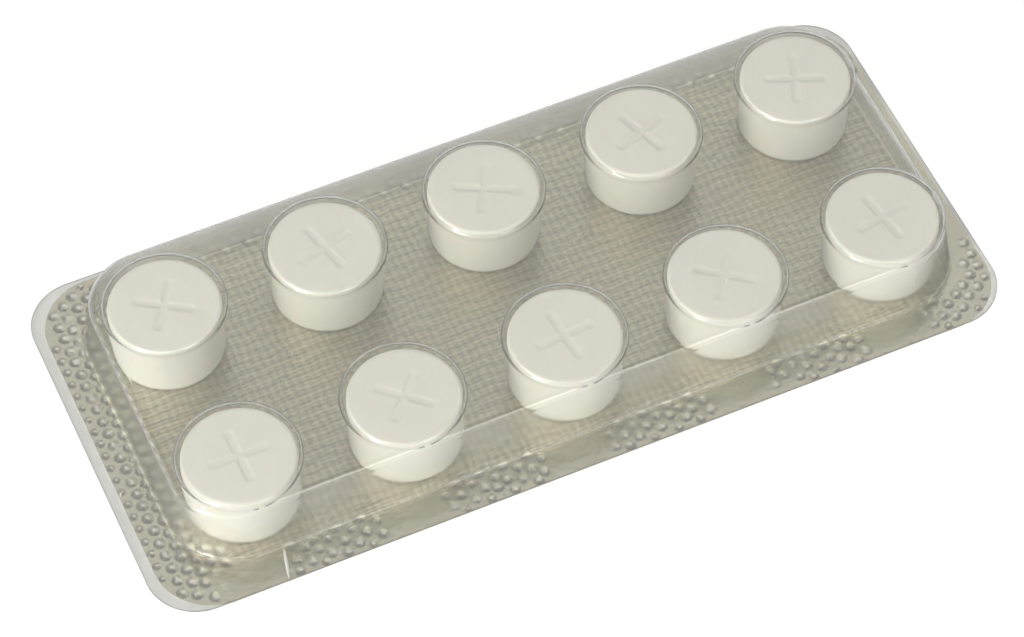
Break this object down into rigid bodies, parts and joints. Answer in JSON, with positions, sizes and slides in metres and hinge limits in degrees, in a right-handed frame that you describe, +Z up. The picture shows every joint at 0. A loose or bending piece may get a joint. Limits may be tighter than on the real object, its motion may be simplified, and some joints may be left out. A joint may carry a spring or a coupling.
{
  "type": "tablet blister pack",
  "caption": "Flat blister strip of round white cleaning tablets in two rows, with a clear film tray sealed to a knurled foil backing.",
  "frame": {"origin": "middle of the foil's underside, at the centre of the strip's outline", "axes": "+X along the strip's long side, +Y towards the back row, +Z up from the foil to the tablets"},
  "size_m": [0.1208, 0.0552, 0.0096],
  "materials": {
    "clear_film": "clear thermoformed film, glossy",
    "foil": "knurled sealed aluminium foil, satin",
    "tablet": "pressed white powder, matte with a faint waxy sheen"
  },
  "bodies": {
    "root": {"film_tray": "clear_film", "foil_backing": "foil", "tablet_back_1": "tablet", "tablet_back_2": "tablet", "tablet_back_3": "tablet", "tablet_back_4": "tablet", "tablet_back_5": "tablet", "tablet_front_1": "tablet", "tablet_front_2": "tablet", "tablet_front_3": "tablet", "tablet_front_4": "tablet", "tablet_front_5": "tablet"}
  },
  "joints": []
}
